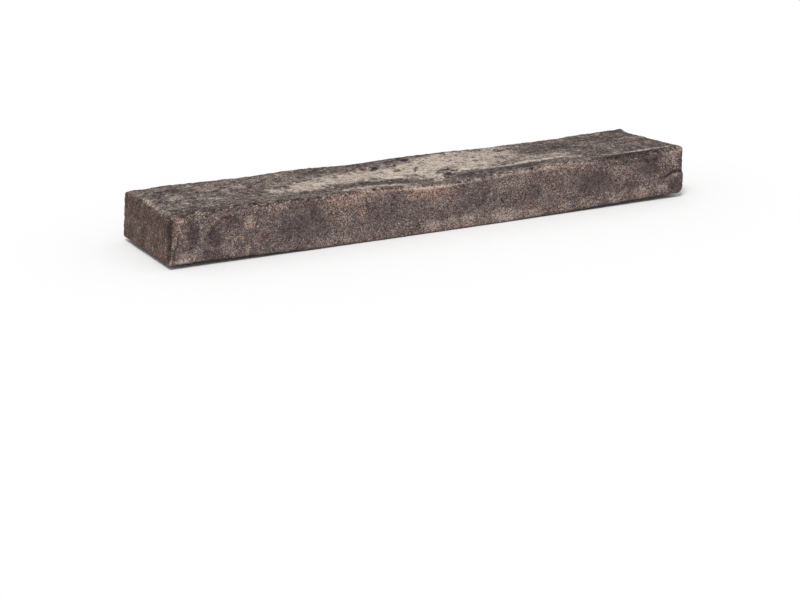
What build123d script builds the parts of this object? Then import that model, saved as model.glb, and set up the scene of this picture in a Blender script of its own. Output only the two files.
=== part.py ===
"""Long facing brick: one hand-moulded, fired clay brick, lying on its bed face.

Frame: origin on the floor under the middle of the brick, +X along its length, +Y from the
front stretcher face to the back one, +Z up. Millimetres.

The clay was thrown in a mould, struck off along its top and fired, so nothing on it is quite
straight. The top is drawn between two wandering crests, one over each stretcher face. A side
outline carries the bow that lifts both ends off the floor. Both headers lean and are out of square.
"""

import os

from build123d import *

# Overall sizes of the format
LENGTH = 500.0
WIDTH = 100.0
THICKNESS = 42.0

# Bed face: flat in the middle, where the brick rests, and bowed up towards both ends
REST_HALF_LENGTH = 45.0
MID_BOW_X = 150.0
MID_BOW_LIFT = 2.0
END_LIFT = 3.6

# Left header: leans in towards its top, and is out of square, set back towards the front face
LEFT_LEAN = 4.0
LEFT_SKEW = 1.5

# Right header: leans in a little too, and is set back towards the back face
RIGHT_LEAN = 1.2
RIGHT_SKEW = 4.0

# Radii of the arrises that the mould and the striking board left
FRONT_CREST_RADIUS = 3.0
BACK_CREST_RADIUS = 4.0
ARRIS_RADIUS = 2.4

# Room that the rough body has beyond the side outline that trims it
TRIM_ROOM = 8.0
ROUGH_END = LENGTH / 2 + TRIM_ROOM

# The two crests: place along the length, and how far the crest stands above THICKNESS there
FRONT_CREST = (
    (-ROUGH_END, -0.2),
    (-205, 3.4),
    (-160, 4.2),
    (-105, 2.6),
    (-62, 4.0),
    (-16, 0.6),
    (42, 1.4),
    (120, 4.8),
    (180, 3.8),
    (ROUGH_END, 6.0),
)
BACK_CREST = (
    (-ROUGH_END, 0.7),
    (-200, 2.0),
    (-140, 0.3),
    (-90, 1.7),
    (-38, -0.6),
    (30, 0.8),
    (95, -1.0),
    (180, -0.8),
    (ROUGH_END, 1.6),
)


def long_edges(part):
    """The edges that run in one piece from header to header."""
    return part.edges().filter_by(lambda edge: edge.length > 0.9 * LENGTH)


with BuildPart() as brick:
    # Body: drawn from the front stretcher face to the back one, each under its own crest
    for y, crest in ((-WIDTH / 2, FRONT_CREST), (WIDTH / 2, BACK_CREST)):
        with BuildSketch(Plane.XZ.offset(-y)):
            with BuildLine():
                line = Spline(*[(x, THICKNESS + rise) for x, rise in crest])
                Polyline(line @ 1, (ROUGH_END, -TRIM_ROOM), (-ROUGH_END, -TRIM_ROOM), line @ 0)
            make_face()
    loft(ruled=True)

    # Side outline: the bowed bed trims the body
    left, right, roof = -LENGTH / 2, LENGTH / 2, THICKNESS + 2 * TRIM_ROOM
    with BuildSketch(Plane.XZ.offset(WIDTH)):
        with BuildLine():
            bed = Line((-REST_HALF_LENGTH, 0), (REST_HALF_LENGTH, 0))
            right_bow = Spline(
                bed @ 1,
                (MID_BOW_X, MID_BOW_LIFT),
                (ROUGH_END, END_LIFT),
                tangents=((1, 0), (1, 0)),
            )
            left_bow = Spline(
                bed @ 0,
                (-MID_BOW_X, MID_BOW_LIFT),
                (-ROUGH_END, END_LIFT),
                tangents=((-1, 0), (-1, 0)),
            )
            Polyline(right_bow @ 1, (ROUGH_END, roof), (-ROUGH_END, roof), left_bow @ 1)
        make_face()
    extrude(amount=-2 * WIDTH, mode=Mode.INTERSECT)

    # Headers: a plane through the foot of the arris that stands out furthest
    left_header = Plane(
        origin=(left, WIDTH / 2, END_LIFT),
        z_dir=(-1, -LEFT_SKEW / WIDTH, LEFT_LEAN / THICKNESS),
    )
    split(bisect_by=left_header, keep=Keep.BOTTOM)
    right_header = Plane(
        origin=(right, -WIDTH / 2, END_LIFT),
        z_dir=(1, RIGHT_SKEW / WIDTH, RIGHT_LEAN / THICKNESS),
    )
    split(bisect_by=right_header, keep=Keep.BOTTOM)

    # Crests: the long top arrises, the front one crisper than the back one
    fillet(long_edges(brick).sort_by(Axis.Y)[0], FRONT_CREST_RADIUS)
    fillet(long_edges(brick).sort_by(Axis.Y)[-1], BACK_CREST_RADIUS)

    # Arrises round the headers and along both sides of the bed
    headers = brick.faces().sort_by(Axis.X)
    bed_edges = brick.edges().filter_by(lambda edge: edge.center().Z < END_LIFT)
    bed_sides = bed_edges.filter_by(lambda edge: abs(edge.center().Y) > WIDTH / 4)
    fillet(headers[0].edges() + headers[-1].edges() + bed_sides, ARRIS_RADIUS)

brick.part.label = "brick"
os.makedirs("parts", exist_ok=True)
export_step(brick.part, "parts/brick.step")
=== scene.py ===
"""Looks of the long facing brick: its sanded, hand-moulded skin, its fired colours and a plain stage.

Shapes are worked out in millimetres in the part's own frame: x along the length, y from the
front stretcher face to the back one, z up. Blender's metres come in only where a mesh, lamp or
camera is made.
"""

import functools
import itertools
import math
from collections import namedtuple
from types import SimpleNamespace

import bpy
import numpy as np
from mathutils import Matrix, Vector
from mathutils.bvhtree import BVHTree


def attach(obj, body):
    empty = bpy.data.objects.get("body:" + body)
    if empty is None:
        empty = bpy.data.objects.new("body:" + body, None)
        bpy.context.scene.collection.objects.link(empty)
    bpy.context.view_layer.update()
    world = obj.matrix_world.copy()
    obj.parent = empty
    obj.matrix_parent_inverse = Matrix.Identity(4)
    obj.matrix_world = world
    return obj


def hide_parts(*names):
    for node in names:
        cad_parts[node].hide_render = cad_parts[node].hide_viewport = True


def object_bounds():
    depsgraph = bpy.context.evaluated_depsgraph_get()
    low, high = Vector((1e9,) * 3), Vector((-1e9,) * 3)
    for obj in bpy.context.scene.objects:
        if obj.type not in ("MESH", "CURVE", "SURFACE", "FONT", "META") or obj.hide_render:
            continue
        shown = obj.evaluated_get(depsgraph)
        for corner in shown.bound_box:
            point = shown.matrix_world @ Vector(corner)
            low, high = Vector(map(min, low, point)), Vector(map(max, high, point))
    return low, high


MM = 0.001

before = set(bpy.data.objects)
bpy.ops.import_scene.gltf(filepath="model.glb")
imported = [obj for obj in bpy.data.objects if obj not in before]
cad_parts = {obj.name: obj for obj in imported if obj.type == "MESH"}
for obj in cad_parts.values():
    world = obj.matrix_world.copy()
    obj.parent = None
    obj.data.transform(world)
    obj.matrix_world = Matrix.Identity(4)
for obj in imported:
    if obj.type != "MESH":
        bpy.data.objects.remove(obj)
cad_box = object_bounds()
LOW = np.array(cad_box[0]) / MM
HIGH = np.array(cad_box[1]) / MM

# Skin: cells of the lattice that is wrapped round the solid, along x, y and z
SKIN_CELLS = (440, 64, 38)
# How far inside the solid's box the core lies that the lattice is cast out from
CORE_INSET = 12.0
# The row of cells on the top, counted from either long side, that gives the height of a crest
CREST_ROW = 5
# How far from the middle, as a share of the length, that row is followed
CREST_REACH = 0.48
# Rounds of averaging that let the skin's directions turn gently over the arrises
TURN_ROUNDS = 12
# Over how many mm a bevel, or a side of the solid's box, eases in
EASING = 0.4
# The least that a direction is taken to lean along an axis, so that nothing is divided by 0
LEAST_LEAN = 0.01

# Camera: the photograph's viewing angle, as a lens in pixels of the 800-pixel-wide frame
IMAGE_WIDTH = 800
FOCAL_PIXELS = 2393.0
SENSOR_WIDTH = 36.0
CAMERA_AZIMUTH = -27.2
CAMERA_ELEVATION = 17.89
CAMERA_PLACE = (-0.9285, -1.7832, 0.5737)

# Light: where the sun stands, its strength and its spread in degrees, and the surround's strength
SUN_TOWARDS = (-0.35, -0.45, 0.85)
SUN_STRENGTH = 1.9
SUN_SPREAD = 20
SURROUND_STRENGTH = 0.5

# Floor: half its side in metres, and its grey as a source of bounced light
FLOOR_HALF = 12.0
FLOOR_BOUNCE = (0.5, 0.5, 0.5, 1.0)
WHITE = (1.0, 1.0, 1.0, 1.0)


class Noise:
    """Smooth gradient noise from about -1 to 1, the same for the same seed."""

    TABLE = 256
    GAIN = 1.6
    # How far apart octaves are taken, so that their cells don't line up, and what they add up to
    OCTAVE_SHIFT = 31.7
    OCTAVE_SUM = 1.5

    def __init__(self, seed):
        rng = np.random.default_rng(seed)
        self.order = rng.permutation(self.TABLE)
        slopes = rng.normal(size=(self.TABLE, 3))
        self.slopes = slopes / np.linalg.norm(slopes, axis=1, keepdims=True)

    def __call__(self, points, size):
        """Noise whose features are about size mm, or size = (along x, y, z)."""
        scaled = points / np.asarray(size, float)
        cell = np.floor(scaled).astype(int)
        part = scaled - cell
        fade = part**3 * (part * (part * 6 - 15) + 10)
        total = np.zeros(len(points))
        for corner in itertools.product((0, 1), repeat=3):
            step = np.array(corner)
            key = (cell + step) % self.TABLE
            pick = self.order[key[:, 0]]
            pick = self.order[(pick + key[:, 1]) % self.TABLE]
            pick = self.order[(pick + key[:, 2]) % self.TABLE]
            slope = ((part - step) * self.slopes[pick]).sum(axis=1)
            total += np.where(step, fade, 1 - fade).prod(axis=1) * slope
        return self.GAIN * total

    def rough(self, points, size, octaves=3):
        """Noise with finer and weaker octaves on top."""
        size = np.asarray(size, float)
        total = sum(self(points + self.OCTAVE_SHIFT * n, size / 2**n) / 2**n for n in range(octaves))
        return total / self.OCTAVE_SUM


def smooth_step(low, high, value):
    """0 below low, 1 above high and a smooth rise between."""
    t = np.clip((value - low) / (high - low), 0, 1)
    return t * t * (3 - 2 * t)


def between(points, at):
    """Values at some places, from (place, value) points with straight lines between them."""
    return np.interp(at, *np.transpose(points))


# Skin mesh

def box_lattice(cells):
    """Points on the skin of a unit box, and the quads between them, facing out."""
    index = np.stack(np.meshgrid(*[np.arange(n + 1) for n in cells], indexing="ij"), -1)
    on_skin = ((index == 0) | (index == cells)).any(axis=-1)
    number = np.full(on_skin.shape, -1)
    number[on_skin] = np.arange(on_skin.sum())
    quads = []
    for axis, side in itertools.product(range(3), (0, -1)):
        sheet = np.take(number, side, axis=axis)
        corners = [sheet[:-1, :-1], sheet[1:, :-1], sheet[1:, 1:], sheet[:-1, 1:]]
        quad = np.stack(corners, -1).reshape(-1, 4)
        faces_up = (side == -1) != (axis == 1)
        quads.append(quad if faces_up else quad[:, ::-1])
    return index[on_skin] / np.array(cells), np.concatenate(quads)


def wrap(node, units):
    """Lattice points laid on the node's surface, in mm, cast outwards from a core inside it."""
    mesh = node.data
    tree = BVHTree.FromPolygons(
        [v.co / MM for v in mesh.vertices],
        [p.vertices for p in mesh.polygons],
    )
    on_box = LOW + units * (HIGH - LOW)
    core = np.clip(on_box, LOW + CORE_INSET, HIGH - CORE_INSET)
    casts = zip(core, on_box - core)
    return np.array([tree.ray_cast(Vector(start), Vector(aim))[0] for start, aim in casts])


def make_mesh(name, places, quads):
    """A smooth-shaded mesh object from places in mm."""
    mesh = bpy.data.meshes.new(name)
    mesh.from_pydata((places * MM).tolist(), [], quads.tolist())
    mesh.polygons.foreach_set("use_smooth", np.ones(len(quads), bool))
    piece = bpy.data.objects.new(name, mesh)
    bpy.context.scene.collection.objects.link(piece)
    return piece


def normals_of(piece):
    """The vertex normals of a mesh object."""
    normals = np.zeros(len(piece.data.vertices) * 3, np.float32)
    piece.data.vertex_normals.foreach_get("vector", normals)
    return normals.reshape(-1, 3).astype(float)


def gentle_directions(normals, quads):
    """The normals, averaged with their neighbours' so that the skin can sink in without folding."""
    corners = quads.ravel()
    count = np.bincount(corners)
    for _ in range(TURN_ROUNDS):
        middles = np.repeat(normals[quads].mean(axis=1), 4, axis=0)
        normals = np.stack([np.bincount(corners, axis) / count for axis in middles.T], axis=1)
    return normals / np.linalg.norm(normals, axis=1, keepdims=True)


def roof_over(places, units):
    """The height of the top over each point of the skin, ruled between its two crests."""
    on_top = (units[:, 2] == 1) & (np.abs(units[:, 0] - 0.5) < CREST_REACH)
    crests = []
    for row in (CREST_ROW, SKIN_CELLS[1] - CREST_ROW):
        line = places[on_top & (units[:, 1] == row / SKIN_CELLS[1])]
        crests.append(np.interp(places[:, 0], line[:, 0], line[:, 2]))
    across = (places[:, 1] - LOW[1]) / (HIGH[1] - LOW[1])
    return crests[0] + across * (crests[1] - crests[0])


# Marks on the faces
#
# A patch has its middle and half sizes along a face's two axes, its turn in degrees, how much
# lighter it is than the clay round it and how much redder. A crease has its line, half width
# and depth, and a streak its line, half width and how much lighter it is. Marks on the front are
# placed by x and z, on the top by x and y, and on the left header by y and z.

Patch = namedtuple("Patch", "along across half_along half_across turn light red")
Crease = namedtuple("Crease", "line half_width depth")
Streak = namedtuple("Streak", "line half_width light")
CrestPlace = namedtuple("CrestPlace", "x bevel light red")

FRONT_PATCHES = [
    # Smoke-blackened clouds
    Patch(-226, 27, 6, 9, 0, -0.16, -0.2),
    Patch(-206, 25, 8, 9, 20, -0.14, -0.2),
    Patch(-208, 9, 9, 5, 0, -0.07, 0.0),
    Patch(-190, 34, 9, 6, 0, -0.11, 0.1),
    Patch(-128, 22, 24, 17, 0, -0.07, -0.4),
    Patch(-52, 27, 16, 12, 0, -0.04, -0.4),
    Patch(-22, 22, 16, 9, 0, -0.03, -0.4),
    Patch(33, 25, 14, 11, 0, -0.05, -0.5),
    Patch(95, 24, 8, 8, 0, -0.06, -0.3),
    Patch(154, 25, 20, 11, 0, -0.10, -0.4),
    Patch(192, 17, 10, 4, 0, -0.08, -0.2),
    Patch(214, 32, 11, 9, 0, -0.10, -0.3),
    Patch(241, 13, 8, 8, 0, -0.14, -0.3),
    Patch(247, 36, 3, 9, 0, -0.10, 0.0),
    # Rust and pink, where the fire reached
    Patch(-235, 40.5, 4, 2, 0, 0.22, 0.8),
    Patch(-240, 25, 2.4, 15, -8, 0.12, 0.5),
    Patch(-245.5, 6, 2.4, 4, -6, 0.24, 0.3),
    Patch(-206, 37, 10, 3, 40, 0.08, 0.5),
    Patch(-195, 18, 8, 8, 30, 0.06, 0.4),
    Patch(-176, 31.5, 5, 5.5, 0, 0.22, 0.4),
    Patch(-152, 41, 14, 4, 0, 0.07, 0.4),
    Patch(-85, 39, 28, 6, 0, 0.12, 0.5),
    Patch(-95, 27, 14, 8, 0, 0.06, 0.4),
    Patch(-75, 26, 6, 3, 0, 0.05, 0.8),
    Patch(-12, 37, 20, 4.5, 0, 0.09, 0.8),
    Patch(-24, 35, 10, 4, 0, 0.10, 0.4),
    Patch(1, 35, 14, 6, 0, 0.10, 0.7),
    Patch(2, 26, 10, 6, 0, 0.06, -0.2),
    Patch(74, 36, 14, 5, 0, 0.08, 0.3),
    Patch(105, 28, 8, 2.6, -60, 0.16, 1.0),
    Patch(120, 41, 14, 4, 0, 0.07, 0.5),
    Patch(182, 32, 9, 11, 0, 0.07, 0.4),
    Patch(231, 36, 10, 7, 0, 0.07, 0.4),
    # Pale sand along the foot, and worn arrises
    Patch(-236, 5.5, 9, 2.6, 0, 0.28, 0.3),
    Patch(-233, 10, 6, 4, 20, 0.14, 0.3),
    Patch(-226, 9, 1.8, 7, -10, 0.28, 0.3),
    Patch(-178, 11, 1.6, 6, -10, 0.24, 0.2),
    Patch(-100, 6, 16, 4, 0, 0.06, 0.2),
    Patch(-5, 6, 10, 5, 0, 0.16, 0.2),
    Patch(22, 7, 16, 6, 0, 0.14, 0.2),
    Patch(66, 6.5, 18, 6, 0, 0.20, 0.2),
    Patch(95, 6, 14, 4, 0, 0.12, 0.2),
    Patch(124, 8, 7, 4, 0, 0.12, 0.2),
    Patch(150, 9, 12, 5, 0, 0.08, 0.2),
    Patch(177, 8.5, 8, 5, 0, 0.16, 0.2),
    Patch(203, 9, 8, 6, 0, 0.22, 0.2),
    Patch(226, 11, 6, 4, 0, 0.20, 0.2),
    # A painted highlight on the bulge beside the crease at the right end
    Patch(240, 21.5, 2.6, 1.6, 0, 0.30, 0.0),
]

# The pale scum on the top is one broad stain, drawn as lapping patches; light is its strength
TOP_STAIN = [
    Patch(-128, -13, 16, 8, 0, 0.7, 0),
    Patch(-104, -8, 24, 16, 20, 0.9, 0),
    Patch(-70, -2, 28, 21, 0, 0.9, 0),
    Patch(-30, 3, 34, 22, 0, 1.0, 0),
    Patch(6, 2, 24, 30, 0, 1.0, 0),
    Patch(34, 16, 30, 27, 0, 0.95, 0),
    Patch(52, -9, 30, 15, 0, 0.9, 0),
    Patch(68, 12, 32, 34, 0, 0.84, 0),
    Patch(98, 16, 20, 32, 0, 0.62, 0),
    Patch(122, -15, 32, 13, 0, 0.6, 0),
    Patch(8, -28, 8, 10, 0, 0.8, 0),
    Patch(-58, -40, 40, 4, 0, 0.6, 0),
]
TOP_PATCHES = [
    # Chalky rims of the stain
    Patch(-38, -17, 34, 4.5, 0, 0.10, -0.4),
    Patch(-118, -14, 14, 5, 0, 0.10, -0.2),
    # Flecks on the dark left end
    Patch(-242, 3, 2.6, 16, 0, 0.28, 0.3),
    Patch(-241, -30, 1.6, 18, 0, 0.10, 0.3),
    Patch(-219, 4, 9, 6, 20, 0.18, 0.0),
    Patch(-218, -15.5, 3.5, 3, 0, 0.28, 0.0),
    Patch(-205, -9, 8, 3.5, 0, 0.14, 0.0),
    Patch(-192, -12, 6, 5, 0, 0.15, 0.0),
    Patch(-195, 35.5, 3, 3.5, 0, 0.26, 0.0),
    Patch(-155, 16, 8, 6, 40, 0.24, 0.3),
    Patch(-172, 12, 5, 4, 0, 0.14, 0.3),
    Patch(-138, -8, 6, 8, 0, 0.14, 0.2),
    # Dark ground between them
    Patch(-220, 32, 16, 9, 0, -0.10, -0.2),
    Patch(-166, 5, 5, 6, 0, -0.10, -0.3),
    Patch(-147, -9, 4, 6, 0, -0.10, -0.3),
    Patch(-200, -40, 48, 8, 0, -0.06, 0.1),
    Patch(-72, 34, 18, 12, 0, -0.08, -0.2),
    Patch(-42, -31, 46, 5.5, 0, -0.16, 0.0),
    Patch(-30, 42, 34, 9, 0, -0.05, -0.2),
    Patch(10, 42, 30, 6, 0, -0.08, -0.3),
    Patch(46, -36, 32, 8.5, 0, -0.10, -0.2),
    Patch(86, -38.5, 30, 8, 0, -0.10, -0.2),
    Patch(205, -42.5, 34, 3.2, 0, -0.14, 0.1),
    Patch(158, 18, 20, 12, 30, -0.06, -0.1),
    Patch(231, 42, 14, 8, 0, -0.10, 0.0),
    Patch(246, 20, 4, 22, 0, -0.08, 0.0),
    # Brown and pale touches at the right end
    Patch(224, 8, 10, 8, 0, 0.08, 0.4),
    Patch(172, 12, 6, 4, 40, 0.08, 0.0),
]
TOP_PITS = [
    Patch(-26, 23, 3.6, 11, -38, -0.28, -0.4),
    Patch(-10, 10, 3.5, 5, -30, -0.30, -0.2),
    Patch(6, 5, 2.4, 7.5, -30, -0.30, -0.2),
    Patch(-24, 4.5, 2.6, 3.5, -30, -0.18, 0),
    Patch(26, -9.5, 7, 3, 0, -0.30, -0.3),
    Patch(18, -15, 3.5, 2.5, 0, -0.28, -0.2),
    Patch(24, -23, 6, 4, 0, -0.22, -0.2),
    Patch(34, -15, 3, 3, 0, -0.22, -0.2),
    Patch(44, -23, 5, 3, 0, -0.24, -0.2),
    Patch(70, 19, 1.6, 4, -20, -0.30, -0.2),
    Patch(65, 4.5, 3, 3, 0, -0.24, -0.2),
    Patch(60, -11, 2.4, 2, 0, -0.18, 0),
    Patch(-72, 6, 2.6, 8, -30, -0.14, 0),
    Patch(-61, 17, 2, 4, -20, -0.18, 0),
    Patch(-80, 33, 6, 5, 0, -0.14, -0.2),
    Patch(-82, 15, 4, 6, -30, -0.12, 0),
    Patch(90, 9, 5, 5, 0, -0.20, -0.4),
    Patch(103, 34, 3.5, 8, -20, -0.22, 0),
    Patch(-47, 26, 3, 3, 0, -0.16, -0.2),
    Patch(-35, 27, 3, 6, -30, -0.12, 0.4),
    Patch(-4, 26, 2.5, 4, -30, -0.16, 0),
    Patch(11, 36, 3, 4, -30, -0.18, -0.2),
    Patch(150, 26, 6, 8, -30, -0.08, 0),
    Patch(104, 31, 7, 3, 0, -0.22, -0.2),
    Patch(114, 15, 5, 2.6, 0, -0.22, -0.2),
    Patch(89, 5, 6, 2.2, 0, -0.20, -0.2),
    Patch(58, -15, 5, 1.8, 0, -0.18, -0.2),
    Patch(138, 23, 9, 7, 0, -0.12, -0.1),
    Patch(157, 10, 10, 7, 0, -0.12, -0.1),
]

# The front crest at places along x: how far it is beveled off, how much lighter it is, as paler worn clay
# with a painted highlight, and how much redder it is
FRONT_CREST = [
    CrestPlace(-250, 3, 0, 0.3),
    CrestPlace(-225, 6, -0.09, 0),
    CrestPlace(-170, 6, -0.09, 0),
    CrestPlace(-120, 4.5, -0.1, 0.2),
    CrestPlace(-85, 3, 0, 0.4),
    CrestPlace(-50, 1.5, 0.18, 0.4),
    CrestPlace(-15, 1.5, 0.52, 0.15),
    CrestPlace(5, 1.5, 0.52, 0.1),
    CrestPlace(25, 1.5, 0.22, 0.15),
    CrestPlace(60, 1.5, 0.18, 0.25),
    CrestPlace(110, 2.5, 0.18, 0.3),
    CrestPlace(150, 4, 0, 0.2),
    CrestPlace(185, 5.5, -0.22, 0),
    CrestPlace(222, 5.5, -0.2, 0),
    CrestPlace(238, 4.5, 0.1, 0.4),
    CrestPlace(250, 3, 0.15, 0.5),
]
# The back crest at places along x: how far it stands above its smooth line
BACK_CREST = [
    (-250, 0),
    (-223, -0.7),
    (-190, 0),
    (-153, 0.8),
    (-120, -0.1),
    (-60, 0),
    (-23, 0.55),
    (20, 0.3),
    (57, -0.4),
    (95, -0.2),
    (127, 0.6),
    (160, 0),
    (250, 0),
]

# The headers' top arrises: how far they are set back at the front and at the back
LEFT_SET_BACK = (5.3, 3.8)
RIGHT_SET_BACK = (1.2, 5.2)
# Their bevels: the left one is smaller towards the back, the right one changes along y
LEFT_BEVEL = 4.0
LEFT_BEVEL_LOSS = 0.6
LEFT_BEVEL_LOSS_Y = (0, 45)
RIGHT_BEVEL = [(-50, 0.5), (0, 5.5), (30, 8), (50, 2)]
# The right header's front arris, beveled by its height, and its foot
RIGHT_ARRIS_BEVEL = [(22, 1.8), (30, 3.5)]
RIGHT_FOOT = 3.6
RIGHT_FOOT_BEVEL = 6.0

HEADER_CREASES = [
    Crease([(-47.5, 6), (-46.5, 16), (-47, 26)], 3.8, 1.2),
    Crease([(-47, 20), (-45, 31), (-46.5, 43)], 7.0, 2.2),
    Crease([(-17, 30), (-16, 20), (-17.5, 9)], 2.6, 0.45),
]
FRONT_CREASES = [
    Crease([(230, 20.5), (236, 24), (243, 24.5), (250, 25)], 2.4, 1.8),
    Crease([(-247.4, 8), (-246.2, 20), (-244.4, 42)], 2.2, 1.2),
    Crease([(-245, 5), (-242, 15), (-238, 30)], 1.9, 0.9),
    Crease([(-217, 21), (-209, 29), (-199, 39)], 2.4, 0.5),
    Crease([(-228, 3), (-226, 12), (-229, 17)], 1.4, 0.7),
    Crease([(101, 34), (105, 28), (108, 21)], 1.8, 0.5),
    Crease([(-180, 6), (-178, 12), (-176, 17)], 1.5, 0.4),
    Crease([(186, 40), (190, 30), (188, 20)], 3.0, 0.4),
    Crease([(128, 12), (136, 15), (146, 11)], 2.0, 0.4),
    Crease([(-70, 38), (-66, 30), (-68, 22)], 2.6, 0.35),
]
TOP_CREASES = [
    Crease([(-86, -25), (-54, -24), (-16, -21.5), (-4, -29.5), (-2, -42)], 1.5, 1.1),
    Crease([(18, -13), (45, -24), (80, -30), (120, -33)], 2.4, 0.6),
    Crease([(-150, 22), (-147, 14), (-152, 6)], 1.6, 0.5),
]
TOP_STREAKS = [
    # Chalk that was pushed up to the rim of the stain
    Streak([(28, -20), (43, -19), (58, -24), (83, -29), (99, -27), (137, -26), (152, -31)], 5.0, 0.50),
    Streak([(-56, -20), (-37, -15.5), (-19, -14), (-8, -21)], 4.5, 0.16),
    # A thin painted highlight along the ridge behind the beveled crest at the right end
    Streak([(170, -39), (193, -38), (222, -37), (238, -39)], 2.6, 0.55),
]

# How far a patch reaches, as a share of its half size, and how soft the edges of each kind are
PATCH_REACH = 0.9
FRONT_SOFTNESS = 0.45
TOP_SOFTNESS = 0.3
STAIN_SOFTNESS = 0.25
PIT_SOFTNESS = 0.15


def patch_shape(patch, along, across, ragged, softness):
    """1 inside a patch and 0 outside it; ragged moves its edge in and out."""
    turn = math.radians(patch.turn)
    a, b = along - patch.along, across - patch.across
    a, b = a * math.cos(turn) + b * math.sin(turn), b * math.cos(turn) - a * math.sin(turn)
    reach = np.hypot(a / patch.half_along, b / patch.half_across) + ragged
    return 1 - smooth_step(PATCH_REACH - softness, PATCH_REACH + softness, reach)


def line_shape(mark, along, across):
    """1 along the middle of a crease or streak, falling to 0 at its sides and its ends."""
    near = np.full(len(along), np.inf)
    for (a0, b0), (a1, b1) in itertools.pairwise(mark.line):
        da, db = a1 - a0, b1 - b0
        t = np.clip(((along - a0) * da + (across - b0) * db) / (da * da + db * db), 0, 1)
        near = np.minimum(near, np.hypot(along - a0 - t * da, across - b0 - t * db))
    return 1 - smooth_step(0, 1, near / mark.half_width)


def bevel_cut(bevel, from_arris, facing):
    """The move of each point, in mm, that bevels an arris, by its distance from the sharp arris."""
    cut = (bevel - from_arris) / math.sqrt(2)
    depth = 0.5 * (cut + np.hypot(cut, EASING))
    return np.outer(-depth / math.sqrt(2), facing)


def held_inside(lift, places, directions):
    """The lift in mm, eased off where it would take a point out of the solid's box."""
    ahead = np.where(directions > 0, HIGH - places, places - LOW)
    lean = np.maximum(np.abs(directions), LEAST_LEAN)
    room = (np.maximum(ahead, 0) / lean).min(axis=1)
    spare = room - lift
    return lift + 0.5 * (spare - np.hypot(spare, EASING))


# Relief and colour of the skin

# How squarely a point has to face a side to start being part of it, and to be wholly part of it
FACE_TURN = (0.3, 0.8)
HEADER_TURN = (0.5, 0.85)
# How far from an arris its wear reaches, in mm
ARRIS_WIDTH = 7.0

# Relief all over the skin, in mm
WAVE_HEIGHT = 0.4
LUMP_HEIGHT = 0.34
GRAIN_HEIGHT = 0.24
NIB_HEIGHT = 0.3
POCK_DEPTH = 0.5
# Relief of the struck top, the dragged headers and the crumbled arrises, in mm
STROKE_HEIGHT = 0.35
DRAG_HEIGHT = 0.2
CRUMB_HEIGHT = 0.5
NICK_DEPTH = 0.9
# How deep a pit is, in mm for each unit of light that it lacks
PIT_DEPTH = 3.2
# The left header swells out towards the back and above its foot; the right one is set in
LEFT_SWELL = 0.8
LEFT_SWELL_Y = (-10, 40)
LEFT_SWELL_Z = (8, 18)
RIGHT_INSET = 0.6
# The back crest's rise and crumbs start and are full at these places along y
BACK_CREST_Y = (20, 46)

# Light of the clay from 0 to 1, and what the noise adds to it all over
CLAY_LIGHT = 0.435
CLOUD_LIGHT = 0.05
LUMP_LIGHT = 0.05
ARRIS_LIGHT = 0.05
# Painted shade in the nicks along the arrises
NICK_SHADE = 0.12
RUST = 0.35
# The front crest's own light, paler worn clay with a painted highlight: its margin in mm and ragged edge,
# its grain and its loss on the top
CREST_MARGIN = 1.5
CREST_RAGGED = 0.4
CREST_EDGE = (0.85, 1.25)
CREST_GRAIN = 0.6
CREST_TOP_LOSS = 0.6
# Headers: dragged light and dark, darker than the rest, and the left one more so towards its top
HEADER_DRAG_LIGHT = 0.10
HEADER_SHADE = 0.12
LEFT_TOP_SHADE = 0.08
LEFT_TOP_Z = (20, 42)
BACK_CLOUD_LIGHT = 0.08
# Top: struck light and dark, drifts, the stain, the dark right end and the clouded back rim
STROKE_LIGHT = 0.12
DRIFT_LIGHT = 0.10
TOP_SHADE = 0.085
STAIN_LIGHT = 0.50
STAIN_DRIFT = 0.06
DARK_END_X = (120, 190)
DARK_END_RAGGED = 30.0
DARK_END_SHADE = 0.07
BACK_RIM_Y = (43, 48)
BACK_RIM_RAGGED = 2.0
BACK_RIM_LIGHT = 0.08
# How strongly the front's patches and the top's pits show
FRONT_STRENGTH = 1.15
PIT_STRENGTH = 1.5
# How broken a streak is, and the range of noise over which it breaks off
STREAK_BREAKS = 0.7
STREAK_BREAK_RANGE = (0.05, 0.45)
# How strong the sand shows: less on the top, headers and stain, and by each patch's light
TOP_SAND_LOSS = 0.1
HEADER_SAND_LOSS = 0.1
STAIN_SAND_LOSS = 0.3
SAND_BY_LIGHT = 4.0
SAND_CHANGE = (-0.4, 0.3)
SAND_RANGE = (0.4, 1.6)
# Hollows between the lumps and grains get painted shade, pocks too, and the stain greys less
HOLLOW_RANGE = (0.1, 1.1)
HOLLOW_GRAIN = 0.7
HOLLOW_SHADE = 0.6
POCK_SHADE = 0.5
STAIN_GREY_LOSS = 0.4


def edge_distance(places):
    """How far each point of the skin is from the nearest arris, in mm."""
    to_sides = np.minimum(places - LOW, HIGH - places)
    return np.sort(to_sides, axis=1)[:, 1]


def skin_faces(places, normals):
    """How much each point is part of each face, from 0 to 1."""
    along, across, up = normals.T
    header = smooth_step(*HEADER_TURN, np.abs(along))
    return SimpleNamespace(
        front=smooth_step(*FACE_TURN, -across),
        back=smooth_step(*FACE_TURN, across),
        top=smooth_step(*FACE_TURN, up),
        header=header,
        left=header * (places[:, 0] < 0),
        right=header * (places[:, 0] > 0),
    )


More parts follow.
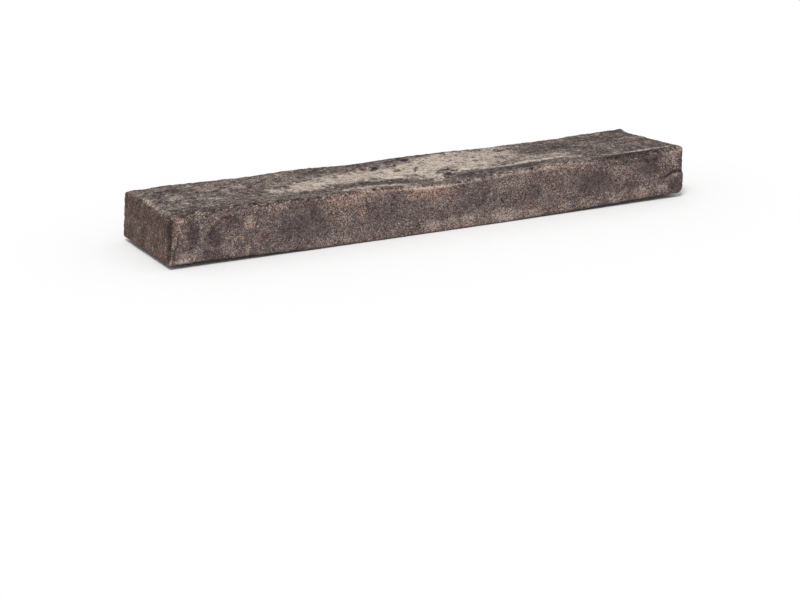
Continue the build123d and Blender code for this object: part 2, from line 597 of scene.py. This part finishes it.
def skin_noise(places):
    """The noise on the skin, each kind with its own seed and the size of its features in mm."""
    drifts = Noise(26).rough(places, (20, 15, 15))
    arris = 1 - smooth_step(0, ARRIS_WIDTH, edge_distance(places))
    return SimpleNamespace(
        waves=Noise(11)(places, 48),
        lumps=Noise(12).rough(places, 13),
        grain=Noise(13).rough(places, 3.4, octaves=2),
        strokes=Noise(14).rough(places, (30, 4.2, 8)),
        drag=Noise(15).rough(places, (9, 3.4, 24), octaves=2),
        clouds=Noise(18).rough(places, 30),
        drifts=2 * smooth_step(-0.5, 0.5, drifts) - 1,
        rust=Noise(22).rough(places, 22),
        # Edges of patches, and the wandering of lines along and across a face
        ragged=0.45 * Noise(16).rough(places, 9) + 0.25 * Noise(17)(places, 2.6),
        wander=(Noise(19)(places, 7), Noise(20)(places, 7)),
        # Worn arrises, small holes and small knobs
        arris=arris,
        nicks=arris * smooth_step(0.1, 0.9, Noise(21).rough(places, 7)),
        crumbs=Noise(25).rough(places, 5),
        back_crumbs=Noise(27).rough(places, 5),
        pocks=smooth_step(0.45, 0.8, Noise(23)(places, 4.2)),
        nibs=smooth_step(0.45, 0.8, Noise(24)(places, 3.6)),
    )


class Skin:
    """The points of the skin, and the relief and colour that each step gives them.

    lift is how far a point moves outwards and cut its move by bevels, both in mm. light, red and
    sandy are how light the clay is, painted highlights included, how rusty, and how strong its sand
    shows. cracks is how far a point lies in a hole or crack, which sets its painted shade. roof is
    the height of the top over each point, as if it ran on past the arrises.
    """

    def __init__(self, places, normals, roof):
        self.x, self.y, self.z = places.T
        self.under_roof = roof - self.z
        self.face = skin_faces(places, normals)
        self.noise = skin_noise(places)
        self.mould()
        self.finish_crest()
        self.bevel_headers()
        self.shape_sides()
        self.colour_sides()
        self.lay(FRONT_PATCHES, self.face.front, self.z, FRONT_SOFTNESS, FRONT_STRENGTH)
        self.colour_top()
        self.lay(TOP_PATCHES, self.face.top, self.y, TOP_SOFTNESS, 1.0)
        self.pit_top()
        self.streak_top()
        self.crease(FRONT_CREASES, self.face.front, self.x, self.z)
        self.crease(TOP_CREASES, self.face.top, self.x, self.y)
        self.crease(HEADER_CREASES, self.face.left, self.y, self.z)

    def mould(self):
        """The clay as it left the mould: waves, lumps and grain, and plain clouds of colour."""
        face, noise = self.face, self.noise
        self.lift = WAVE_HEIGHT * noise.waves + LUMP_HEIGHT * noise.lumps + GRAIN_HEIGHT * noise.grain
        self.lift += NIB_HEIGHT * noise.nibs
        self.lift -= POCK_DEPTH * noise.pocks
        self.lift += (
            face.top * STROKE_HEIGHT * noise.strokes
            + face.header * DRAG_HEIGHT * noise.drag
            + CRUMB_HEIGHT * noise.arris * noise.crumbs
        )
        self.lift -= NICK_DEPTH * noise.nicks
        # Painted shade in the pocks
        self.cracks = POCK_SHADE * noise.pocks
        self.light = CLAY_LIGHT + CLOUD_LIGHT * noise.clouds + LUMP_LIGHT * noise.lumps
        self.red = RUST * noise.rust
        self.sandy = 1 - TOP_SAND_LOSS * face.top - HEADER_SAND_LOSS * face.header

    def finish_crest(self):
        """The front crest: beveled off, and from place to place lighter, as paler worn clay with a
        painted highlight, or darker or rustier.
        """
        places, bevels, lights, reds = np.transpose(FRONT_CREST)
        bevel = np.interp(self.x, places, bevels)
        from_crest = (self.y - LOW[1]) + self.under_roof
        self.cut = bevel_cut(bevel, from_crest, (0, -1, 1))
        reach = from_crest / (bevel + CREST_MARGIN) + CREST_RAGGED * self.noise.ragged
        on_crest = 1 - smooth_step(*CREST_EDGE, reach)
        # Lighter places on the crest are paler worn clay with a painted highlight
        light = np.interp(self.x, places, lights) * (1 + CREST_GRAIN * self.noise.grain)
        self.light += on_crest * (light - CREST_TOP_LOSS * self.face.top * np.maximum(light, 0))
        self.red += on_crest * np.interp(self.x, places, reds)

    def bevel_headers(self):
        """The headers' top arrises, and the right header's front arris and foot, beveled off."""
        x, y, z = self.x, self.y, self.z
        sides = (LOW[1], HIGH[1])
        from_left = (x - LOW[0] - np.interp(y, sides, LEFT_SET_BACK)) + self.under_roof
        from_right = (HIGH[0] - np.interp(y, sides, RIGHT_SET_BACK) - x) + self.under_roof
        left_bevel = LEFT_BEVEL * (1 - LEFT_BEVEL_LOSS * smooth_step(*LEFT_BEVEL_LOSS_Y, y))
        from_right_arris = (HIGH[0] - x) + (y - LOW[1])
        from_right_foot = (HIGH[0] - x) + (z - RIGHT_FOOT)
        self.cut += bevel_cut(left_bevel, from_left, (-1, 0, 1))
        self.cut += bevel_cut(between(RIGHT_BEVEL, y), from_right, (1, 0, 1))
        self.cut += bevel_cut(between(RIGHT_ARRIS_BEVEL, z), from_right_arris, (1, -1, 0))
        self.cut += bevel_cut(RIGHT_FOOT_BEVEL, from_right_foot, (1, 0, -1))

    def shape_sides(self):
        """How far the headers and the back crest stand out from the solid, or in."""
        face = self.face
        swell = LEFT_SWELL * face.left * smooth_step(*LEFT_SWELL_Y, self.y)
        self.lift += swell * smooth_step(*LEFT_SWELL_Z, self.z) - RIGHT_INSET * face.right
        at_back = face.top * smooth_step(*BACK_CREST_Y, self.y)
        self.lift += at_back * (between(BACK_CREST, self.x) + CRUMB_HEIGHT * self.noise.back_crumbs)

    def colour_sides(self):
        """The headers, dragged and darker, and the clouds on the back stretcher face."""
        face, noise = self.face, self.noise
        self.light += face.header * (HEADER_DRAG_LIGHT * noise.drag - HEADER_SHADE)
        self.light -= face.left * LEFT_TOP_SHADE * smooth_step(*LEFT_TOP_Z, self.z)
        self.light += BACK_CLOUD_LIGHT * face.back * noise.clouds

    def colour_top(self):
        """The struck top: strokes, drifts, the pale stain, the dark right end and the back rim."""
        top, noise = self.face.top, self.noise
        laps = [p.light * patch_shape(p, self.x, self.y, noise.ragged, STAIN_SOFTNESS) for p in TOP_STAIN]
        self.stain = top * np.max(laps, axis=0)
        dark_end = top * smooth_step(*DARK_END_X, self.x + DARK_END_RAGGED * noise.strokes)
        back_rim = top * smooth_step(*BACK_RIM_Y, self.y + BACK_RIM_RAGGED * noise.lumps)
        self.light += top * (STROKE_LIGHT * noise.strokes + DRIFT_LIGHT * noise.drifts - TOP_SHADE)
        self.light += self.stain * (STAIN_LIGHT - STAIN_DRIFT * noise.drifts)
        self.light += BACK_RIM_LIGHT * back_rim * noise.clouds - DARK_END_SHADE * dark_end
        self.sandy -= STAIN_SAND_LOSS * self.stain

    def lay(self, patches, face, across, softness, strength):
        """Patches of another colour on a face, sandier where they are lighter."""
        for patch in patches:
            shape = face * patch_shape(patch, self.x, across, self.noise.ragged, softness)
            self.light += strength * patch.light * shape
            self.red += patch.red * shape
            self.sandy += np.clip(SAND_BY_LIGHT * patch.light, *SAND_CHANGE) * shape

    def pit_top(self):
        """The dark pits in the top."""
        for pit in TOP_PITS:
            shape = self.face.top * patch_shape(pit, self.x, self.y, self.noise.ragged, PIT_SOFTNESS)
            self.light += PIT_STRENGTH * pit.light * shape
            self.red += pit.red * shape
            self.lift += PIT_DEPTH * pit.light * shape

    def streak_top(self):
        """The broken streaks on the top, free of sand: chalk, and a painted highlight along the ridge at
        the right end.
        """
        along, across = self.noise.wander
        whole = 1 - STREAK_BREAKS * smooth_step(*STREAK_BREAK_RANGE, self.noise.ragged)
        for streak in TOP_STREAKS:
            shape = self.face.top * line_shape(streak, self.x + along, self.y + across) * whole
            self.light += streak.light * shape
            self.sandy -= shape

    def crease(self, creases, face, along, across):
        """Creases and cracks in a face, darkened by painted shade where they are deep."""
        wander = self.noise.wander
        for crease in creases:
            shape = face * line_shape(crease, along + wander[0], across + wander[1])
            self.lift -= crease.depth * shape
            self.cracks = np.maximum(self.cracks, shape * min(1.0, crease.depth))

    def colour_values(self):
        """The values that the material reads from the skin, by name."""
        face, noise = self.face, self.noise
        # Painted shade in the low places between the lumps and grains, joined with that of the pocks,
        # cracks and creases
        painted_hollow_shade = smooth_step(*HOLLOW_RANGE, -(noise.lumps + HOLLOW_GRAIN * noise.grain))
        return {
            # tone takes painted shade in the nicks
            "tone": self.light + ARRIS_LIGHT * noise.arris - NICK_SHADE * noise.nicks,
            "red": self.red,
            "painted_hollow_shade": np.maximum(painted_hollow_shade * HOLLOW_SHADE, self.cracks),
            "top": face.top,
            "grey": face.top - STAIN_GREY_LOSS * self.stain,
            "header": face.header,
            "sandy": np.clip(self.sandy, *SAND_RANGE),
        }


def build_brick():
    """The brick's skin: the solid's own form with the moulded relief on it."""
    units, quads = box_lattice(SKIN_CELLS)
    places = wrap(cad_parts["brick"], units)
    piece = make_mesh("brick_skin", places, quads)
    normals = normals_of(piece)
    skin = Skin(places, normals, roof_over(places, units))
    directions = gentle_directions(normals, quads)
    beveled = places + skin.cut
    lift = held_inside(skin.lift, beveled, directions)
    moved = np.clip(beveled + directions * lift[:, None], LOW, HIGH)
    piece.data.vertices.foreach_set("co", (moved * MM).astype(np.float32).ravel())
    piece.data.update()
    for name, value in skin.colour_values().items():
        layer = piece.data.attributes.new(name, "FLOAT", "POINT")
        layer.data.foreach_set("value", value.astype(np.float32))
    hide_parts("brick")
    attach(piece, "root")
    return piece


# Material

class Graph:
    """Short ways to add and link shader nodes."""

    def __init__(self, owner):
        self.tree = owner.node_tree

    def add(self, kind, inputs, output=0, **settings):
        """A node with its settings, and its inputs by name or number; gives one of its outputs."""
        node = self.tree.nodes.new(kind)
        for name, value in settings.items():
            setattr(node, name, value)
        for key, value in inputs.items():
            self.feed(node.inputs[key], value)
        return node.outputs[output]

    def feed(self, socket, value):
        """Links another node's output to the socket, or sets the socket's own value."""
        if isinstance(value, bpy.types.NodeSocket):
            self.tree.links.new(value, socket)
        else:
            socket.default_value = value

    def attribute(self, name):
        """A value that the skin's points carry."""
        return self.add("ShaderNodeAttribute", {}, "Fac", attribute_name=name)

    def noise(self, coords, size, detail=2.0, roughness=0.6):
        """Noise from 0 to 1 whose features are about size mm."""
        inputs = {"Vector": coords, "Scale": 1 / size, "Detail": detail, "Roughness": roughness}
        return self.add("ShaderNodeTexNoise", inputs, "Fac")

    def drawn(self, coords, stretch, size):
        """Noise from 0 to 1 with features of about size mm, drawn out by stretch along x, y and z."""
        shrink = tuple(1 / s for s in stretch)
        vector = self.add("ShaderNodeVectorMath", {0: coords, 1: shrink}, operation="MULTIPLY")
        return self.noise(vector, size)

    def grains(self, coords, size):
        """A value from 0 to 1 for each grain, with grains of about size mm."""
        colour = self.add("ShaderNodeTexVoronoi", {"Vector": coords, "Scale": 1 / size}, "Color")
        return self.add("ShaderNodeSeparateColor", {0: colour})

    def ramp(self, value, low, high, to_low=0.0, to_high=1.0):
        """The value's range from low to high, spread over another range."""
        return self.add("ShaderNodeMapRange", {0: value, 1: low, 2: high, 3: to_low, 4: to_high})

    def swing(self, value, low, high, strength):
        """The value's range from low to high, spread evenly to both sides of 0."""
        return self.ramp(value, low, high, -strength, strength)

    def math(self, operation, a, b):
        """Two values put together by a plain operation."""
        return self.add("ShaderNodeMath", {0: a, 1: b}, operation=operation)

    def total(self, values):
        """The sum of several values."""
        return functools.reduce(lambda a, b: self.math("ADD", a, b), values)

    def mix(self, factor, a, b, blend="MIX"):
        """One colour over another."""
        inputs = {0: factor, 6: a, 7: b}
        return self.add("ShaderNodeMix", inputs, 2, data_type="RGBA", blend_type=blend)

    def colours(self, value, stops):
        """Colours along a value, from (place, colour) stops."""
        node = self.tree.nodes.new("ShaderNodeValToRGB")
        elements = node.color_ramp.elements
        while len(elements) < len(stops):
            elements.new(1.0)
        for element, (place, colour) in zip(elements, stops):
            element.position = place
            element.color = colour
        self.feed(node.inputs[0], value)
        return node.outputs[0]


def srgb(red, green, blue):
    """A colour written as screen values from 0 to 255."""
    return tuple(
        c / 255 / 12.92 if c <= 10 else ((c / 255 + 0.055) / 1.055) ** 2.4
        for c in (red, green, blue)
    ) + (1.0,)


# Clay from its darkest grains to its palest scum
CLAY = (
    (0.0, srgb(40, 33, 31)),
    (0.2, srgb(74, 62, 59)),
    (0.4, srgb(106, 92, 88)),
    (0.6, srgb(142, 127, 119)),
    (0.8, srgb(182, 168, 155)),
    (1.0, srgb(214, 202, 187)),
)
# The colour of the painted shade in the dips, pocks, cracks and creases
PAINTED_SHADE_COLOUR = srgb(28, 23, 22)
# Tints over the clay: rusty, smoky, the grey-green of the struck top and the brown of the headers
RUSTED = (1.0, 0.80, 0.70, 1.0)
SMOKED = (0.88, 0.95, 1.0, 1.0)
STRUCK = (0.965, 1.02, 0.98, 1.0)
HEADER = (1.05, 0.965, 0.86, 1.0)
# How far the rusty and smoky colours and the painted shade go at most
RUSTED_SHARE = 0.75
SMOKED_SHARE = 0.8
PAINTED_SHADE_SHARE = 0.8

# Sizes in mm of the sand, single grains, coarse grains, fine grain and mottling of the clay
SAND_SIZE = 0.5
SINGLE_SIZE = 0.9
COARSE_SIZE = 1.7
GRAIN_SIZE = 1.4
MOTTLE_SIZE = 6
# Flakes and specks of the top, and drag marks of the headers: stretch along x, y and z, and size
FLAKE_STRETCH, FLAKE_SIZE = (4, 3, 3), 1.0
SPECK_STRETCH, SPECK_SIZE = (5, 3.5, 3.5), 1.1
DRAG_STRETCH, DRAG_SIZE = (1.5, 1.5, 6), 1.0
# Coarse grains show on the top, and by this share on the headers
HEADER_COARSENESS = 0.4
# Sizes in mm of the patches where the clay is warmer or greener, and of the finest bumps
WARMTH_SIZE = 8
GREEN_SIZE = 5
FINE_SIZE = 0.8
BUMP_DEPTH = 0.3


def clay_tone(graph, coords, grain, mottle):
    """How light the clay is: the skin's own tone with sand, grains, flakes and specks on it."""
    top = graph.attribute("top")
    header = graph.attribute("header")
    single = graph.grains(coords, SINGLE_SIZE)
    sand = graph.total([
        graph.swing(graph.grains(coords, SAND_SIZE), 0.0, 1.0, 0.32),
        graph.ramp(single, 0.88, 0.93, 0.0, 0.26),
        graph.ramp(single, 0.11, 0.06, 0.0, -0.25),
    ])
    coarse = graph.swing(graph.grains(coords, COARSE_SIZE), 0.0, 1.0, 0.17)
    coarseness = graph.math("ADD", top, graph.math("MULTIPLY", header, HEADER_COARSENESS))
    flakes = graph.ramp(graph.drawn(coords, FLAKE_STRETCH, FLAKE_SIZE), 0.57, 0.65, 0.0, 0.28)
    specks = graph.ramp(graph.drawn(coords, SPECK_STRETCH, SPECK_SIZE), 0.58, 0.65, 0.0, -0.45)
    dragged = graph.swing(graph.drawn(coords, DRAG_STRETCH, DRAG_SIZE), 0.2, 0.8, 0.18)
    return graph.total([
        graph.attribute("tone"),
        graph.math("MULTIPLY", graph.attribute("sandy"), sand),
        graph.swing(grain, 0.2, 0.8, 0.08),
        graph.math("MULTIPLY", coarseness, coarse),
        graph.swing(mottle, 0.2, 0.8, 0.12),
        graph.math("MULTIPLY", top, flakes),
        graph.math("MULTIPLY", top, specks),
        graph.math("MULTIPLY", header, dragged),
    ])


def clay_colour(graph, coords, tone):
    """The clay's colour: its tone, tinted by rust, smoke and the tools that finished each face, and
    darkened by painted shade in its dips, pocks, cracks and creases.
    """
    warmth = graph.swing(graph.noise(coords, WARMTH_SIZE), 0.3, 0.7, 0.6)
    red = graph.math("ADD", graph.attribute("red"), warmth)
    green = graph.ramp(graph.noise(coords, GREEN_SIZE), 0.3, 0.7, 0.89, 1.03)
    greened = graph.add("ShaderNodeCombineColor", {0: 1.0, 1: green, 2: 1.0})
    # How far the painted shade darkens the clay
    painted_shade_factor = graph.ramp(graph.attribute("painted_hollow_shade"), 0.0, 1.0, 0.0, PAINTED_SHADE_SHARE)
    colour = graph.colours(tone, CLAY)
    colour = graph.mix(graph.ramp(red, 0.0, 1.0, 0.0, RUSTED_SHARE), colour, RUSTED, "MULTIPLY")
    colour = graph.mix(graph.ramp(red, 0.0, -1.0, 0.0, SMOKED_SHARE), colour, SMOKED, "MULTIPLY")
    colour = graph.mix(1.0, colour, greened, "MULTIPLY")
    colour = graph.mix(graph.attribute("grey"), colour, STRUCK, "MULTIPLY")
    colour = graph.mix(graph.attribute("header"), colour, HEADER, "MULTIPLY")
    return graph.mix(painted_shade_factor, colour, PAINTED_SHADE_COLOUR)


def clay_material():
    """Fired clay: sand and clay grains of all tones, in clouds of smoke, rust and pale scum."""
    material = bpy.data.materials.new("fired_clay")
    material.use_nodes = True
    graph = Graph(material)
    shader = graph.tree.nodes["Principled BSDF"]
    place = graph.add("ShaderNodeTexCoord", {}, "Object")
    coords = graph.add("ShaderNodeVectorMath", {0: place, "Scale": 1 / MM}, operation="SCALE")
    grain = graph.noise(coords, GRAIN_SIZE)
    mottle = graph.noise(coords, MOTTLE_SIZE, detail=3)
    tone = clay_tone(graph, coords, grain, mottle)
    graph.feed(shader.inputs["Base Color"], clay_colour(graph, coords, tone))

    graph.feed(shader.inputs["Roughness"], graph.ramp(mottle, 0.3, 0.7, 0.84, 0.97))
    shader.inputs["Specular IOR Level"].default_value = 0.25
    fine = graph.ramp(graph.noise(coords, FINE_SIZE, detail=1, roughness=0.5), 0.0, 1.0, 0.0, 0.5)
    height = graph.math("ADD", grain, fine)
    bump = {"Height": height, "Strength": 1.0, "Distance": BUMP_DEPTH * MM}
    graph.feed(shader.inputs["Normal"], graph.add("ShaderNodeBump", bump))
    return material


# Stage

def seen_directly(graph):
    """1 for rays that show a surface as it is seen, straight or in a mirror or glass, else 0."""
    path = graph.tree.nodes.new("ShaderNodeLightPath")
    seen = graph.math("MAXIMUM", path.outputs["Is Camera Ray"], path.outputs["Is Glossy Ray"])
    return graph.math("MAXIMUM", seen, path.outputs["Is Transmission Ray"])


def white_world():
    """An even white surround: full white to the eye, softer as light."""
    world = bpy.data.worlds.new("surround")
    world.use_nodes = True
    bpy.context.scene.world = world
    graph = Graph(world)
    background = graph.tree.nodes["Background"]
    background.inputs["Color"].default_value = WHITE
    strength = graph.ramp(seen_directly(graph), 0, 1, SURROUND_STRENGTH, 1.0)
    graph.feed(background.inputs["Strength"], strength)


def pale_floor():
    """A wide matt floor under the brick, white to the eye and greyer as a source of bounced light."""
    near, far = -FLOOR_HALF, FLOOR_HALF
    corners = [(near, near, 0), (far, near, 0), (far, far, 0), (near, far, 0)]
    mesh = bpy.data.meshes.new("floor")
    mesh.from_pydata(corners, [], [(0, 1, 2, 3)])
    floor = bpy.data.objects.new("floor", mesh)
    bpy.context.scene.collection.objects.link(floor)
    material = bpy.data.materials.new("pale_floor")
    material.use_nodes = True
    graph = Graph(material)
    shader = graph.tree.nodes["Principled BSDF"]
    graph.feed(shader.inputs["Base Color"], graph.mix(seen_directly(graph), FLOOR_BOUNCE, WHITE))
    shader.inputs["Roughness"].default_value = 1.0
    shader.inputs["Specular IOR Level"].default_value = 0.0
    mesh.materials.append(material)


def soft_sun():
    """A broad, even key light."""
    lamp = bpy.data.lights.new("key", "SUN")
    lamp.energy = SUN_STRENGTH
    lamp.angle = math.radians(SUN_SPREAD)
    sun = bpy.data.objects.new("key", lamp)
    sun.rotation_mode = "QUATERNION"
    sun.rotation_quaternion = Vector(SUN_TOWARDS).to_track_quat("Z", "Y")
    bpy.context.scene.collection.objects.link(sun)


def photo_camera():
    """A camera at the photograph's place and angle."""
    data = bpy.data.cameras.new("camera")
    data.sensor_width = SENSOR_WIDTH
    data.lens = FOCAL_PIXELS / IMAGE_WIDTH * SENSOR_WIDTH
    camera = bpy.data.objects.new("camera", data)
    azimuth, elevation = math.radians(CAMERA_AZIMUTH), math.radians(CAMERA_ELEVATION)
    back = Vector((
        math.sin(azimuth) * math.cos(elevation),
        -math.cos(azimuth) * math.cos(elevation),
        math.sin(elevation),
    ))
    camera.location = CAMERA_PLACE
    camera.rotation_mode = "QUATERNION"
    camera.rotation_quaternion = back.to_track_quat("Z", "Y")
    bpy.context.scene.collection.objects.link(camera)
    bpy.context.scene.camera = camera


brick = build_brick()
brick.data.materials.append(clay_material())
white_world()
pale_floor()
soft_sun()
photo_camera()
bpy.context.scene.view_settings.view_transform = "Standard"
